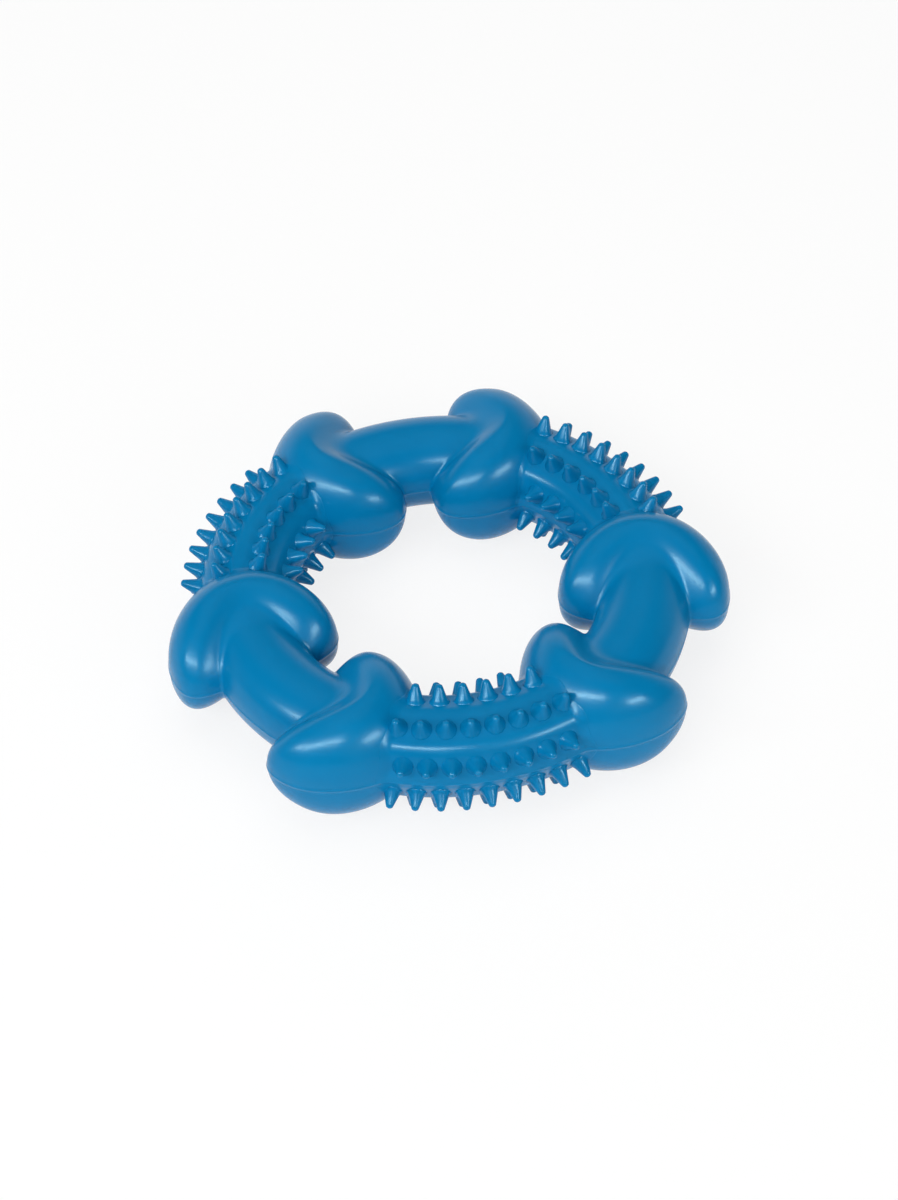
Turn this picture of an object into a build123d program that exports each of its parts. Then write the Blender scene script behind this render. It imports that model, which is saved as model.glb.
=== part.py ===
from build123d import *
import os
from math import cos, degrees, radians, sin, tan

# Rubber chew ring: smooth bones and spiked links alternate round a ring, moulded in one piece.
# Millimetres and degrees. The ring lies flat: its axis is Z, its centre is the origin and its
# mould line is Z = 0. One bone stands on +Y and one spiked link on -Y.

# Ring
ring_radius = 46.0          # centre of the ring to the middle of the rubber
bone_names = ["bone_back", "bone_left", "bone_right"]
link_names = ["spiked_link_left", "spiked_link_front", "spiked_link_right"]

# Bones: a round shaft with a head at either end
shaft_diameter = 21.0
head_angle = 26.0           # middle of a bone to each of its heads, round the ring
head_turn = 8.0             # how far a head squares itself to its own bone
head_width = 38.4           # diameter of the dome, seen from above
head_height = 30.6          # height of the dome, before its crown is sloped off
head_out = 0.5              # middle of a head outside the ring's centreline
head_back = 4.4             # widest part of a head, behind its place on the ring
shoulder_back = 13.7        # blunt shoulder, behind the head's place on the ring
shoulder_round = 6.0        # rounding of the shoulder's rim
arch_back = 4.2             # crown of the arch that the shaft comes out of
arch_bite = 1.1             # shaft wider than its arch, on each side
crown_slope = 35.0          # rise of the head from the shaft, over the crown of the arch
rest_height = 14.1          # mould line to the flat under each head, where the toy stands

# Spiked links: an eight-sided core with a row of nubs on each facet
core_flats = 21.4
core_sides = 8
core_edge_round = 3.0
nub_pitch = 5.3             # along a row, on the facet
nub_length = 4.3
nub_root_diameter = 2.8
nub_tip_diameter = 1.4
nub_tip_softness = 0.65     # rounding of a nub's tip, as a share of the tip's radius
nub_sunk = 1.0              # root of a nub inside the core
nub_in_dome = 0.5           # how far inside a dome the foot of an end nub may lie

# Everything is made on +Y and then turned into place
made_at = 90.0
bone_to_link = 180.0 / len(bone_names)
link_reach = bone_to_link - head_angle
dome_radius = head_width / 2
flattening = head_height / head_width
core_radius = core_flats / 2
up = Vector(0, 0, 1)
stands_up = (Align.CENTER, Align.CENTER, Align.MIN)


def outwards(angle):
    """Unit vector from the ring's axis at an angle round the ring."""
    return Vector(cos(radians(angle)), sin(radians(angle)), 0)


# The clockwise head of the bone on +Y: across the ring, towards its link, and where it stands
across = outwards(made_at - head_angle + head_turn)
ahead = across.cross(up)
head_place = outwards(made_at - head_angle) * ring_radius + across * head_out
dome_centre = head_place - ahead * head_back


def ring_sector(profile, half_angle):
    """A profile, drawn with X outwards and Y up, carried round the ring on either side of +Y."""
    start = outwards(made_at - half_angle)
    section = Plane(origin=start * ring_radius, x_dir=start, z_dir=start.cross(up))
    return revolve(section * profile, axis=Axis.Z, revolution_arc=2 * half_angle)


def flattened_on_head(ball):
    """Flattens a ball made at the origin, with Z towards the link, and moves it to the head."""
    return Plane(origin=dome_centre, x_dir=across, z_dir=ahead) * scale(ball, by=(1, flattening, 1))


def head():
    """A flattened ball with a blunt, rounded shoulder, open to the shaft in an arch with a sloped crown."""
    shoulder = Plane.XY.offset(head_back - shoulder_back)
    ball = split(Sphere(dome_radius), bisect_by=shoulder, keep=Keep.TOP)
    rim = ball.edges().group_by(Axis.Z)[0]
    cap = flattened_on_head(fillet(rim, shoulder_round))
    arch_radius = shaft_diameter / 2 - arch_bite
    arch_place = head_place - ahead * (arch_back + arch_radius)
    rise = (head_height - shaft_diameter) / 2
    slope_radius = arch_radius + rise / tan(radians(crown_slope))
    slope = Pos(0, 0, shaft_diameter / 2) * Cone(arch_radius, slope_radius, rise, align=stands_up)
    arch = Cylinder(arch_radius, head_height) + slope + mirror(slope, about=Plane.XY)
    return cap - Pos(arch_place) * arch


def bone():
    """Shaft and two heads, flat underneath where the toy stands."""
    clockwise_head = head()
    shaft = ring_sector(Circle(shaft_diameter / 2), head_angle)
    solid = shaft + clockwise_head + mirror(clockwise_head, about=Plane.YZ)
    floor = Plane.XY.offset(-rest_height)
    return split(solid, bisect_by=floor, keep=Keep.TOP)


def foot_is_free(foot):
    """True where the foot of a nub lies on the core, and not deep inside the dome beside it."""
    from_dome = foot.rotate(Axis.Z, -bone_to_link) - dome_centre
    level = (from_dome.dot(across) ** 2 + from_dome.dot(ahead) ** 2) / (dome_radius - nub_in_dome) ** 2
    return level + (from_dome.Z / (head_height / 2 - nub_in_dome)) ** 2 > 1


def nub_row(facet_angle, staggered):
    """Places of the nubs along one facet: evenly spaced to either side of +Y, up to the domes."""
    radius = ring_radius + core_radius * cos(radians(facet_angle))
    height = core_radius * sin(radians(facet_angle))
    step = degrees(nub_pitch / radius)
    turn = step / 2 if staggered else 0.0
    places = []
    while turn < link_reach and foot_is_free(outwards(made_at + turn) * radius + up * height):
        for angle in sorted({made_at - turn, made_at + turn}):
            out = outwards(angle)
            axis = out * cos(radians(facet_angle)) + up * sin(radians(facet_angle))
            places.append(Plane(origin=out * radius + up * height, z_dir=axis))
        turn += step
    return places


def nub():
    """One tapered nub on Z, its root sunk below the facet."""
    cone = Cone(nub_root_diameter / 2, nub_tip_diameter / 2, nub_length + nub_sunk, align=stands_up)
    tip = cone.edges().group_by(Axis.Z)[-1]
    return Pos(0, 0, -nub_sunk) * fillet(tip, nub_tip_softness * nub_tip_diameter / 2)


def spiked_link():
    """Core and nubs, dished at either end where they meet the domes of the bones beside them."""
    octagon = RegularPolygon(core_radius, core_sides, major_radius=False)
    core = ring_sector(fillet(octagon.vertices(), core_edge_round), link_reach)
    single = nub()
    nubs = []
    for facet in range(core_sides):
        facet_angle = 360.0 / core_sides * (facet + 0.5)
        in_upper_half = facet < core_sides / 2
        nubs += [place * single for place in nub_row(facet_angle, staggered=in_upper_half)]
    dome = Rot(0, 0, bone_to_link) * flattened_on_head(Sphere(dome_radius))
    return core.fuse(*nubs).cut(dome, mirror(dome, about=Plane.YZ))


os.makedirs("parts", exist_ok=True)
one_bone = bone()
one_link = spiked_link()
for index, (bone_name, link_name) in enumerate(zip(bone_names, link_names)):
    bone_turn = 2 * bone_to_link * index
    export_step(Rot(0, 0, bone_turn) * one_bone, f"parts/{bone_name}.step")
    export_step(Rot(0, 0, bone_turn + bone_to_link) * one_link, f"parts/{link_name}.step")
    print(bone_name, "and", link_name, "made")
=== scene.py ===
import math

import bpy
import numpy as np
from mathutils import Matrix, Quaternion, Vector


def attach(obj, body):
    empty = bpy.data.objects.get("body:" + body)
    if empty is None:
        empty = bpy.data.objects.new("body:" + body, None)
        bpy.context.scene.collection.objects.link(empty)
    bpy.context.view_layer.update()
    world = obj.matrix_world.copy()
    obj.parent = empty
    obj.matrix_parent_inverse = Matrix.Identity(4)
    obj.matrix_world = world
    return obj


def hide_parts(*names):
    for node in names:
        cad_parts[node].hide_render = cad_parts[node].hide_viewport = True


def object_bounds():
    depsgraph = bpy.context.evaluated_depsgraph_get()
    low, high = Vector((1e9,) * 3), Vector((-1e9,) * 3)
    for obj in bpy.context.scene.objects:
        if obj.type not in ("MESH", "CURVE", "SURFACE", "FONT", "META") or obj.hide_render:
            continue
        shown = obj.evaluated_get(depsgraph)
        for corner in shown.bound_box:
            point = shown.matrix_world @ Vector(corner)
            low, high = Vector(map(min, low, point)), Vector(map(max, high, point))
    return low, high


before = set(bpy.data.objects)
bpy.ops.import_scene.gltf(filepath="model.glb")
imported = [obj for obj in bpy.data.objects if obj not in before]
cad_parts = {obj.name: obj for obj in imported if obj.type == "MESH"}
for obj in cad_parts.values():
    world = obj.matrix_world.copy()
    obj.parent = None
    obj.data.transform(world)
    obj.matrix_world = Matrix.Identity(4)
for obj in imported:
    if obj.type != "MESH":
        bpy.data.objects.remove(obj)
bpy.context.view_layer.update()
print("frame loaded:", ", ".join(sorted(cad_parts)))

# Rubber chew ring: three smooth bones and three spiked links, in turn, round a flat ring.
# Shapes are worked out in millimetres about the ring's centre and put into the meshes in metres.
# A turn is measured clockwise from +Y, seen from above; a section angle from outwards, then up.

ring = {
    "radius": 46.0,          # centre of the ring to the middle of the rubber
    "bones": 3,
    "millimetre": 0.001,     # in Blender's metres
    "seamHeight": 0.15,      # mould line, a low ridge half way up
    "seamWidth": 0.42,
    "crowd": 0.75,           # how far columns crowd towards the mould line
}


# Shared by bones and links

mirror = np.array([-1.0, 1.0, 1.0])      # across the middle of a bone or a link on +Y


def columnAngles(count):
    # even angles pulled towards 0 and 180 degrees, by the sine of twice the angle
    even = np.arange(count) * 2 * np.pi / count
    return even - ring["crowd"] / 2 * np.sin(2 * even)


def onRing(turn, radius, section):
    # the point at a radius and section angle in the ring's cross-section, swung round by a turn
    reach = ring["radius"] + radius * np.cos(section)
    swung = np.broadcast_arrays(reach * np.sin(turn), reach * np.cos(turn), radius * np.sin(section))
    return np.stack(swung, -1)


def alongRing(turn):
    # unit vector in the direction in which a turn grows
    return np.stack([np.cos(turn), -np.sin(turn), 0 * turn], -1)


def fromMiddle(turn, section):
    # unit vector from the middle of the rubber, at a turn and a section angle
    level = np.cos(section)
    return np.stack([level * np.sin(turn), level * np.cos(turn), np.sin(section)], -1)


def unit(vectors):
    # the same directions, with a length of one
    return vectors / np.linalg.norm(vectors, axis=-1, keepdims=True)


def dot(first, second):
    # products of two lots of vectors, as a column beside them
    return np.sum(first * second, -1, keepdims=True)


def bezier(start, startPull, end, endPull, count):
    # cubic from start to end, drawn out along each pull; the first point is left out
    t = (np.arange(1, count + 1) / count)[:, None, None]
    first = start + startPull
    last = end + endPull
    return (1 - t) ** 3 * start + 3 * (1 - t) ** 2 * t * first + 3 * (1 - t) * t ** 2 * last + t ** 3 * end


def withSeam(rows):
    # lifts the surface along its normal by a bell curve of the height above the mould line
    across = np.roll(rows, -1, 1) - np.roll(rows, 1, 1)
    along = np.gradient(rows, axis=0)
    lift = ring["seamHeight"] * np.exp(-(rows[..., 2:] / ring["seamWidth"]) ** 2)
    return rows + unit(np.cross(across, along)) * lift


def bothHalves(half):
    # the mirror image of the rows, then the rows, with the middle one only once, and the mould line
    return withSeam(np.concatenate([(half * mirror)[:0:-1], half]))


def closedTube(rows, firstPole, lastPole):
    # vertices, quads and end triangles of a tube of rings, closed to a point at either end, facing out
    count, columns = rows.shape[:2]
    vertices = np.concatenate([rows.reshape(-1, 3), [firstPole, lastPole]])
    here = np.arange(columns)
    after = np.roll(here, -1)
    step = np.arange(count - 1)[:, None] * columns
    quads = np.stack([step + here, step + after, step + columns + after, step + columns + here], -1)
    lastRow = (count - 1) * columns
    pole = np.full(columns, count * columns)
    firstFan = np.stack([pole, after, here], -1)
    lastFan = np.stack([pole + 1, lastRow + here, lastRow + after], -1)
    return vertices, quads.reshape(-1, 4), np.concatenate([firstFan, lastFan])


def placed(name, node, shape, degrees):
    # turns a shape made on +Y anticlockwise round the ring and makes it the piece for a CAD node
    vertices, quads, fans = shape
    angle = math.radians(degrees)
    spin = np.array([
        [math.cos(angle), -math.sin(angle), 0],
        [math.sin(angle), math.cos(angle), 0],
        [0, 0, 1],
    ])
    vertices = vertices @ spin.T * ring["millimetre"]
    mesh = bpy.data.meshes.new(name)
    mesh.from_pydata(vertices.tolist(), [], quads.tolist() + fans.tolist())
    mesh.polygons.foreach_set("use_smooth", np.ones(len(mesh.polygons), bool))
    mesh.update()
    piece = bpy.data.objects.new(name, mesh)
    bpy.context.scene.collection.objects.link(piece)
    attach(piece, "root")
    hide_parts(node)
    return piece


# Bones: a round shaft that comes out of an arch in a broad head at either end

bone = {
    "shaftRadius": 10.5,
    "headTurn": 26.0,        # middle of a bone to each head, round the ring
    "headSquare": 6.5,       # how far a head squares itself to its own bone
    "headOut": 0.1,          # middle of a head outside the ring's centreline
    "halfWidth": 19.5,       # middle of a head to its crest, level and upwards
    "halfHeight": 14.8,
    "squareness": (2.2, 2.6),    # of the crest, above and below: 2 is an ellipse, more is squarer
    "tip": 14.4,             # foremost point of a head, ahead of its place
    "archBack": 4.2,         # crown of the arch, behind the head's place
    "shoulderBack": 13.8,    # ends of the arch, on the mould line
    "archPower": 2.3,        # how far up the sides of the shaft the arch runs straight
    "crownPower": 3.2,       # how soon the gentle crown turns into the steep sides
    # the next four have a value at the crown of the arch and one at its sides
    "slope": (34.0, 88.0),   # degrees, rise of the head from the shaft
    "crease": (3.4, 0.9),    # fillet between shaft and head
    "crest": (7.0, 8.2),     # arch to the crest of the head
    "crestFull": (0.7, 0.72),    # how square the rise to the crest is: two thirds is an arc, one a corner
    "creaseFull": 2 / 3,     # the same for the crease
    "front": 0.40,           # how far the crest runs on before the head falls away: 0.55 is an ellipse
    "tipFull": 0.55,         # how blunt the head's front is
    "restHeight": 14.1,      # mould line to the flats that the toy stands on
    "columns": 208,
    "shaftRows": 40,
    "creaseRows": 12,
    "crestRows": 26,
    "frontRows": 46,
}


def headFrame():
    # a head's place, the angle it faces, and its directions: across the ring, ahead to its link, and up
    turn = math.radians(bone["headTurn"])
    facing = math.radians(bone["headTurn"] - bone["headSquare"])
    across = np.array([math.sin(facing), math.cos(facing), 0.0])
    ahead = np.array([math.cos(facing), -math.sin(facing), 0.0])
    place = ring["radius"] * np.array([math.sin(turn), math.cos(turn), 0.0]) + bone["headOut"] * across
    up = np.array([0.0, 0.0, 1.0])
    return {"place": place, "facing": facing, "across": across, "ahead": ahead, "up": up}


head = headFrame()


def crownToSide(section, name):
    # a setting that changes from its value at the crown to the one at the sides, by a power of the sine
    atCrown, atSide = bone[name]
    return atSide + (atCrown - atSide) * np.abs(np.sin(section)) ** bone["crownPower"]


def archAt(section):
    # the arch falls back from its crown as a power of the cosine of the section angle
    sideways = np.abs(np.cos(section)) ** bone["archPower"]
    return -bone["archBack"] - (bone["shoulderBack"] - bone["archBack"]) * sideways


def crestAt(section):
    # the crest of a head: how far ahead it lies, and its radius, which is that of a squared ellipse
    above, below = bone["squareness"]
    power = np.where(np.sin(section) > 0, above, below)
    level = (np.abs(np.cos(section)) / bone["halfWidth"]) ** power
    radius = (level + (np.abs(np.sin(section)) / bone["halfHeight"]) ** power) ** (-1 / power)
    return archAt(section) + crownToSide(section, "crest"), radius


def frontCurve(t):
    # the fall from crest to tip as a cubic: share of the way ahead, and share of the radius that is left
    gone = 3 * (1 - t) ** 2 * t * bone["front"] + 3 * (1 - t) * t ** 2 + t ** 3
    left = (1 - t) ** 3 + 3 * (1 - t) ** 2 * t + 3 * (1 - t) * t ** 2 * bone["tipFull"]
    return gone, left


def onFront(t, section):
    # the point of a head's front at that part of the curve and that angle round the head's axis
    crest, radius = crestAt(section)
    gone, left = frontCurve(t)
    front = crest + gone * (bone["tip"] - crest)
    outwards = np.cos(section)[..., None] * head["across"] + np.sin(section)[..., None] * head["up"]
    return head["place"] + front[..., None] * head["ahead"] + (left * radius)[..., None] * outwards


def halfBone():
    # rows from the middle of the shaft, through the crease, up to the crest and down the front
    ahead = head["ahead"]
    section = columnAngles(bone["columns"])
    reach = ring["radius"] + bone["shaftRadius"] * np.cos(section)
    turn = head["facing"] + np.arcsin((archAt(section) + head["place"] @ ahead) / reach)
    fillet = crownToSide(section, "crease")
    part = np.linspace(0, 1, bone["shaftRows"])[:, None]
    shaft = onRing(part * (turn - fillet / reach), bone["shaftRadius"], section)
    # the crease: a curve from the shaft's own direction into the slope of the head
    forward = alongRing(turn)
    rise = np.radians(crownToSide(section, "slope"))[:, None]
    slope = np.cos(rise) * forward + np.sin(rise) * fromMiddle(turn, section)
    fillet = fillet[:, None]
    foot = onRing(turn, bone["shaftRadius"], section) + fillet * slope
    pull = bone["creaseFull"] * fillet
    crease = bezier(shaft[-1], pull * forward, foot, -pull * slope, bone["creaseRows"])
    # the rise: on up the slope and level at the crest, pulled towards the corner where the two would meet
    crest = onFront(0.0, section)
    bend = dot(slope, ahead)
    up = (dot(crest - foot, slope) - bend * dot(crest - foot, ahead)) / (1 - bend ** 2)
    back = (dot(crest - foot, ahead) - bend * dot(crest - foot, slope)) / (1 - bend ** 2)
    full = crownToSide(section, "crestFull")[:, None]
    brim = bezier(foot, full * up * slope, crest, -full * back * ahead, bone["crestRows"])
    part = (np.arange(1, bone["frontRows"]) / bone["frontRows"])[:, None]
    return np.concatenate([shaft, crease, brim, onFront(part, section)])


def boneShape():
    # both halves, closed on the tips of the heads and pressed flat where the toy stands
    rows = bothHalves(halfBone())
    rows[..., 2] = np.maximum(rows[..., 2], -bone["restHeight"])
    tip = head["place"] + bone["tip"] * head["ahead"]
    return closedTube(rows, tip * mirror, tip)


# Spiked links: an eight-sided core, dished at the ends by the heads, with a row of nubs on each facet

link = {
    "apothem": 10.7,         # middle of the core to a facet
    "facets": 8,
    "edgeRound": 5.0,
    "footRound": 1.2,        # fillet where the core meets a head, and how full its curve is
    "footFull": 0.6,
    "tuck": 0.5,             # how far the hidden ends reach into a head
    "probe": 0.001,          # step over which the direction up a head is measured
    "halvings": 30,          # of the turn, when the way to a head is looked for
    "frontSteps": 200,       # points of a head's front, for the same
    "columns": 192,
    "coreRows": 35,          # from the middle to one end
    "footRows": 8,
    "endRows": 6,
}

nub = {
    "pitch": 5.3,            # along a row, on the facet
    "length": 4.2,
    "rootRadius": 1.75,
    "tipRadius": 0.7,
    "flare": 0.6,            # widening at the foot, and how fast it dies away up the nub
    "flareHeight": 0.8,
    "flareRows": (0.35, 0.9),    # heights of the rings of points that show the flare
    "tipRows": (35.0, 65.0),     # degrees, rings of points round the tip
    "sunk": 0.7,             # root of a nub inside the core
    "inHead": 0.5,           # how far inside a head the foot of an end nub may lie
    "sides": 12,
}


def coreRadius(section):
    # eight-sided section: flat facets, and corners that are arcs
    half = np.pi / link["facets"]
    fromFacet = (section % (2 * half)) - half
    fromCorner = half - np.abs(fromFacet)
    inner = link["apothem"] - link["edgeRound"]
    flat = link["apothem"] / np.cos(fromFacet)
    middle = inner / math.cos(half)
    arc = middle * np.cos(fromCorner)
    arc = arc + np.sqrt(np.maximum(link["edgeRound"] ** 2 - (middle * np.sin(fromCorner)) ** 2, 0))
    onFlat = np.abs(np.tan(fromFacet)) * link["apothem"] < inner * math.tan(half)
    return np.where(onFlat, flat, arc)


def turnToHead(radius, section, deep):
    # turn at which a line along the ring from the link's middle is that deep in a head, by halving
    gone, left = frontCurve(np.linspace(0, 1, link["frontSteps"]))
    toBone = math.pi / ring["bones"]
    outside = np.zeros(np.broadcast(radius, section).shape)
    inside = outside + toBone - math.radians(bone["headTurn"])
    for halving in range(link["halvings"]):
        turn = (outside + inside) / 2
        away = onRing(toBone - turn, radius, section) - head["place"]
        front = away @ head["ahead"]
        side = away @ head["across"]
        high = away @ head["up"]
        crest, wide = crestAt(np.arctan2(high, side))
        allowed = wide * np.interp((front - crest) / (bone["tip"] - crest), gone, left) - deep
        within = np.hypot(side, high) < allowed
        inside = np.where(within, turn, inside)
        outside = np.where(within, outside, turn)
    return inside


def onHead(radius, section, deep=0.0):
    # the point where that line is that deep in the head
    return onRing(turnToHead(radius, section, deep), radius, section)


def coreShape():
    # rows along the ring, a fillet up the head at either end, then the dished end hidden in the head
    section = columnAngles(link["columns"])
    radius = coreRadius(section)
    reach = ring["radius"] + radius * np.cos(section)
    turn = turnToHead(radius, section, 0.0) - link["footRound"] / reach
    part = np.linspace(0, 1, link["coreRows"])[:, None]
    core = onRing(part * turn, radius, section)
    climbed = radius + link["footRound"]
    edge = onHead(climbed, section)
    upHead = unit(onHead(climbed + link["probe"], section) - edge)
    pull = link["footFull"] * link["footRound"]
    fillet = bezier(core[-1], pull * alongRing(turn), edge, -pull * upHead, link["footRows"])
    inwards = (1 - np.arange(link["endRows"]) / link["endRows"])[:, None] * climbed
    end = onHead(inwards, section, link["tuck"])
    tip = onHead(0.0, 0.0, link["tuck"])
    return closedTube(bothHalves(np.concatenate([core, fillet, end])), tip * mirror, tip)


def nubPlaces():
    # turns and facet angles: each row is evenly spaced about the middle of the link, up to the heads
    turns, facets = [], []
    for facet in range(link["facets"]):
        angle = 2 * math.pi / link["facets"] * (facet + 0.5)
        staggered = math.sin(angle) > 0
        reach = ring["radius"] + link["apothem"] * math.cos(angle)
        count = int(reach / nub["pitch"])    # to either side, more than have room
        row = (np.arange(-count, count + 1) + staggered / 2) * nub["pitch"] / reach
        free = np.abs(row) < turnToHead(link["apothem"], angle, nub["inHead"])
        turns.append(row[free])
        facets.append(np.full(free.sum(), angle))
    return np.concatenate(turns), np.concatenate(facets)


def nubShapes():
    # a tapered peg turned about its facet's normal: straight taper, flared foot, rounded tip
    turns, facets = nubPlaces()
    base = onRing(turns, link["apothem"], facets)
    axis = fromMiddle(turns, facets)
    along = alongRing(turns)
    beside = np.cross(axis, along)
    neck = nub["length"] - nub["tipRadius"]
    height = np.array([-nub["sunk"], 0.0, *nub["flareRows"], neck])
    taper = np.interp(height, [0, nub["length"]], [nub["rootRadius"], nub["tipRadius"]])
    width = taper + nub["flare"] * np.exp(-np.maximum(height, 0) / nub["flareHeight"])
    tip = np.radians(nub["tipRows"])
    height = np.append(height, neck + nub["tipRadius"] * np.sin(tip))
    width = np.append(width, width[-1] * np.cos(tip))
    angle = np.arange(nub["sides"]) * 2 * np.pi / nub["sides"]
    circle = np.cos(angle)[:, None] * along[:, None] + np.sin(angle)[:, None] * beside[:, None]
    stem = base[:, None] + height[:, None] * axis[:, None]
    rings = stem[:, :, None] + width[:, None, None] * circle[:, None]
    foot = base - nub["sunk"] * axis
    top = base + nub["length"] * axis
    return [closedTube(*shape) for shape in zip(rings, foot, top)]


def linkShape():
    # core and nubs in one mesh: the corner numbers of each shape start after those of the ones before
    vertices, quads, fans = zip(coreShape(), *nubShapes())
    starts = np.cumsum([0] + [len(some) for some in vertices[:-1]])
    quads = [some + start for some, start in zip(quads, starts)]
    fans = [some + start for some, start in zip(fans, starts)]
    return np.concatenate(vertices), np.concatenate(quads), np.concatenate(fans)


# Pieces

pieces = []
wholeBone = boneShape()
wholeLink = linkShape()
third = 360 / ring["bones"]
for index, side in enumerate(["Back", "Left", "Right"]):
    pieces.append(placed("bone" + side, "bone_" + side.lower(), wholeBone, third * index))
for index, side in enumerate(["Left", "Front", "Right"]):
    turned = third * (index + 0.5)
    pieces.append(placed("spikedLink" + side, "spiked_link_" + side.lower(), wholeLink, turned))
print("pieces:", {piece.name: len(piece.data.polygons) for piece in pieces})


# Materials


def linear(hexColour):
    # sRGB hex to linear colour, by the standard's power curve and its straight toe
    written = [int(hexColour[start:start + 2], 16) / 255 for start in (0, 2, 4)]
    light = [value / 12.92 if value < 0.04045 else ((value + 0.055) / 1.055) ** 2.4 for value in written]
    return light + [1.0]


def newMaterial(name):
    # a material and its node tree, with no nodes yet
    material = bpy.data.materials.new(name)
    material.use_nodes = True
    material.node_tree.nodes.clear()
    return material, material.node_tree


def addNode(tree, kind, inputs, **settings):
    # one node with its settings; an input takes a plain value, or another node's output as its link
    made = tree.nodes.new("ShaderNode" + kind)
    for name, value in settings.items():
        setattr(made, name, value)
    for name, value in inputs.items():
        if isinstance(value, bpy.types.NodeSocket):
            tree.links.new(value, made.inputs[name])
        else:
            made.inputs[name].default_value = value
    return made


def maths(tree, operation, first, second):
    # sum or product of two outputs
    return addNode(tree, "Math", {0: first, 1: second}, operation=operation).outputs["Value"]


def mapped(tree, value, fromRange=(0.0, 1.0), toRange=(0.0, 1.0)):
    # an output carried from one range to another, and held at the ends
    names = ("From Min", "From Max", "To Min", "To Max")
    ranges = dict(zip(names, (*fromRange, *toRange)))
    return addNode(tree, "MapRange", {"Value": value, **ranges}).outputs["Result"]


def noise(tree, millimetres, detail):
    # noise on Object coordinates, with grains of that size
    place = addNode(tree, "TexCoord", {}).outputs["Object"]
    scale = 1 / (millimetres * ring["millimetre"])
    return addNode(tree, "TexNoise", {"Vector": place, "Scale": scale, "Detail": detail}).outputs["Fac"]


rubber = {
    "deep": "0074a9",
    "pale": "007bb0",
    "sheen": "caf6ff",       # tint of the reflections, which look bluish on this rubber
    # each noise has a size in mm and octaves of detail, and each bump a depth in mm
    "mottle": (14.0, 3.0),   # faint clouds in the pigment
    "mottleRange": (0.3, 0.7),   # of the clouds' values, for the roughness
    "rough": (0.21, 0.27),
    "wave": (7.0, 1.0),      # slow waves of the cured skin
    "waveDepth": 0.03,
    "grain": (0.7, 2.0),     # the real mould's grain is about 0.1 mm, drawn coarser so that it shows
    "grainDepth": 0.012,
    "ior": 1.52,
    "specular": 0.2,
}


def bump(tree, height, millimetres, inputs):
    # a bump of that depth, on top of what the inputs give
    depth = millimetres * ring["millimetre"]
    return addNode(tree, "Bump", {"Height": height, "Distance": depth, **inputs}).outputs["Normal"]


def mouldedRubber():
    # solid-coloured moulded rubber: the tool's fine satin grain, soft broad highlights, faint clouding
    material, tree = newMaterial("mouldedRubber")
    clouds = noise(tree, *rubber["mottle"])
    shades = {"Factor": clouds, "A": linear(rubber["deep"]), "B": linear(rubber["pale"])}
    colour = addNode(tree, "Mix", shades, data_type="RGBA")
    slow = bump(tree, noise(tree, *rubber["wave"]), rubber["waveDepth"], {})
    fine = bump(tree, noise(tree, *rubber["grain"]), rubber["grainDepth"], {"Normal": slow})
    skin = addNode(tree, "BsdfPrincipled", {
        "Base Color": colour.outputs["Result"],
        "Roughness": mapped(tree, clouds, rubber["mottleRange"], rubber["rough"]),
        "Normal": fine,
        "Specular Tint": linear(rubber["sheen"]),
        "IOR": rubber["ior"],
        "Specular IOR Level": rubber["specular"],
    })
    addNode(tree, "OutputMaterial", {"Surface": skin.outputs["BSDF"]})
    return material


skinMaterial = mouldedRubber()
for piece in pieces:
    piece.data.materials.append(skinMaterial)
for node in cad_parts.values():
    node.data.materials.clear()
    node.data.materials.append(skinMaterial)
print("material:", skinMaterial.name)


# Floor, light and camera

studio = {
    "floorSize": 6.0,        # metres across
    "floorColour": "fbfcfb",
    "floorGlow": 0.82,       # share of plain white in the floor as the camera and reflections see it
    "white": 1.0,            # strength at which a plain glow is white
    "worldLevels": (0.06, 1.0),      # strength of the dim room, and of the backdrop behind the toy
    "backdropTop": (0.55, 0.2),      # sines of the elevations at which the backdrop starts and is full
    "backdropEdge": (0.1, 0.6),      # the same for the directions on either side, along +Y
    "distance": 1.2,         # metres from the ring's centre to each lamp
    # degrees round from the front, up and tilted; metres wide and tall; level of the light
    "lamps": {
        "stripLeft": (-47, 41, 15, 1.48, 0.12, 1.7),
        "stripRight": (38, 28, 0, 0.5, 0.14, 0.52),
        "boxLeft": (-47, 41, 0, 1.4, 0.5, 0.82),
        "boxRight": (28, 24, 0, 1.2, 0.5, 0.32),
        "overhead": (180, 75, 0, 1.4, 1.4, 0.56),
    },
    # these are seen in the highlights only, and the other lamps give the plain light
    "shineOnly": ["stripLeft", "stripRight"],
}


def paperSweep():
    # matt white paper; the camera and the reflections see it mixed with plain white
    material, tree = newMaterial("paperSweep")
    paper = addNode(tree, "BsdfDiffuse", {"Color": linear(studio["floorColour"])})
    glow = addNode(tree, "Emission", {"Strength": studio["white"]})
    ray = addNode(tree, "LightPath", {}).outputs
    seen = maths(tree, "ADD", ray["Is Camera Ray"], ray["Is Glossy Ray"])
    seen = maths(tree, "ADD", seen, ray["Is Transmission Ray"])
    share = mapped(tree, seen, toRange=(0.0, studio["floorGlow"]))
    mixed = addNode(tree, "MixShader", {0: share, 1: paper.outputs["BSDF"], 2: glow.outputs["Emission"]})
    addNode(tree, "OutputMaterial", {"Surface": mixed.outputs["Shader"]})
    return material


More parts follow.
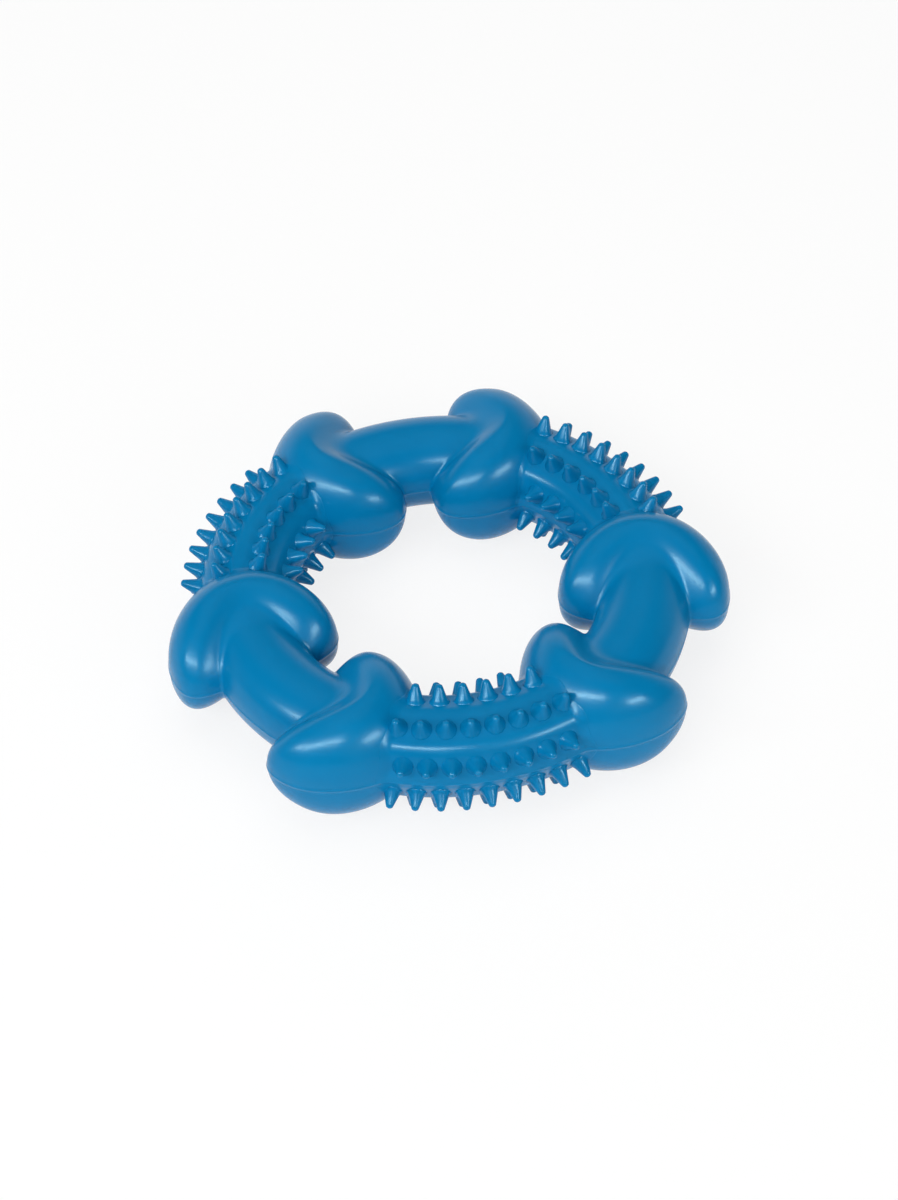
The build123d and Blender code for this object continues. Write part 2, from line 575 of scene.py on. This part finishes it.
def floorPlane():
    # one flat square at the height of the lowest rubber
    half = studio["floorSize"] / 2
    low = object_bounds()[0].z
    corners = [(-half, -half, low), (half, -half, low), (half, half, low), (-half, half, low)]
    mesh = bpy.data.meshes.new("floor")
    mesh.from_pydata(corners, [], [(0, 1, 2, 3)])
    mesh.materials.append(paperSweep())
    floor = bpy.data.objects.new("floor", mesh)
    bpy.context.scene.collection.objects.link(floor)


def fromCentre(turn, height):
    # unit vector from the ring's centre, by degrees round to the right from the front, and degrees up
    turn, height = math.radians(turn), math.radians(height)
    level = math.cos(height)
    return Vector((level * math.sin(turn), -level * math.cos(turn), math.sin(height)))


def lamp(name, turn, height, tilt, wide, tall, level):
    # a soft box that faces the toy; its power gives about that level on a surface that faces it
    towards = fromCentre(turn, height)
    light = bpy.data.lights.new(name, "AREA")
    light.shape = "RECTANGLE"
    light.size = wide
    light.size_y = tall
    light.energy = level * math.pi ** 2 * studio["distance"] ** 2
    box = bpy.data.objects.new(name, light)
    box.location = towards * studio["distance"]
    box.rotation_mode = "QUATERNION"
    tilted = Quaternion((0, 0, 1), math.radians(tilt))
    box.rotation_quaternion = (-towards).to_track_quat("-Z", "Y") @ tilted
    box.visible_diffuse = name not in studio["shineOnly"]
    box.visible_glossy = name in studio["shineOnly"]
    bpy.context.scene.collection.objects.link(box)


def surroundings():
    # a dim room with a white backdrop that stands behind the toy and fades out above and at the sides
    world = bpy.data.worlds.new("studioRoom")
    bpy.context.scene.world = world
    world.use_nodes = True
    tree = world.node_tree
    looking = addNode(tree, "TexCoord", {}).outputs["Generated"]
    direction = addNode(tree, "SeparateXYZ", {"Vector": looking}).outputs
    low = mapped(tree, direction["Z"], studio["backdropTop"])
    behind = mapped(tree, direction["Y"], studio["backdropEdge"])
    strength = mapped(tree, maths(tree, "MULTIPLY", low, behind), toRange=studio["worldLevels"])
    background = tree.nodes["Background"].inputs
    background["Color"].default_value = (1, 1, 1, 1)
    tree.links.new(strength, background["Strength"])


view = {
    "frame": (898, 1200),    # pixels of the picture
    "ringCentre": (443.4, 596.2),    # pixel where the ring's centre falls
    "pixelsPerRadius": 200.9,        # picture size of the ring's radius, at the ring's centre
    "radiiAway": 15.0,       # camera to the ring's centre, in ring radii
    "turn": -8.18,           # degrees round to the right from the front, so a little to the left
    "height": 45.4,          # degrees above the floor
    "roll": 2.8,
    "sensor": 36.0,
}


def photoCamera():
    # a camera on a sphere round the ring, rolled a little, with the ring's centre at its pixel
    forward = -fromCentre(view["turn"], view["height"])
    right = forward.cross(Vector((0, 0, 1))).normalized()
    level = Matrix((right, right.cross(forward), -forward)).transposed()
    stand = (level @ Matrix.Rotation(-math.radians(view["roll"]), 3, "Z")).to_4x4()
    stand.translation = -forward * view["radiiAway"] * ring["radius"] * ring["millimetre"]
    wide, tall = view["frame"]
    lens = bpy.data.cameras.new("photoCamera")
    lens.sensor_width = view["sensor"]
    lens.lens = view["sensor"] * view["pixelsPerRadius"] * view["radiiAway"] / tall
    lens.shift_x = (wide / 2 - view["ringCentre"][0]) / tall
    lens.shift_y = (view["ringCentre"][1] - tall / 2) / tall
    camera = bpy.data.objects.new("photoCamera", lens)
    camera.matrix_world = stand
    bpy.context.scene.collection.objects.link(camera)
    bpy.context.scene.camera = camera


floorPlane()
for name, settings in studio["lamps"].items():
    lamp(name, *settings)
surroundings()
photoCamera()
bpy.context.scene.view_settings.view_transform = "Standard"
print("studio: floor,", ", ".join(studio["lamps"]), "and camera")
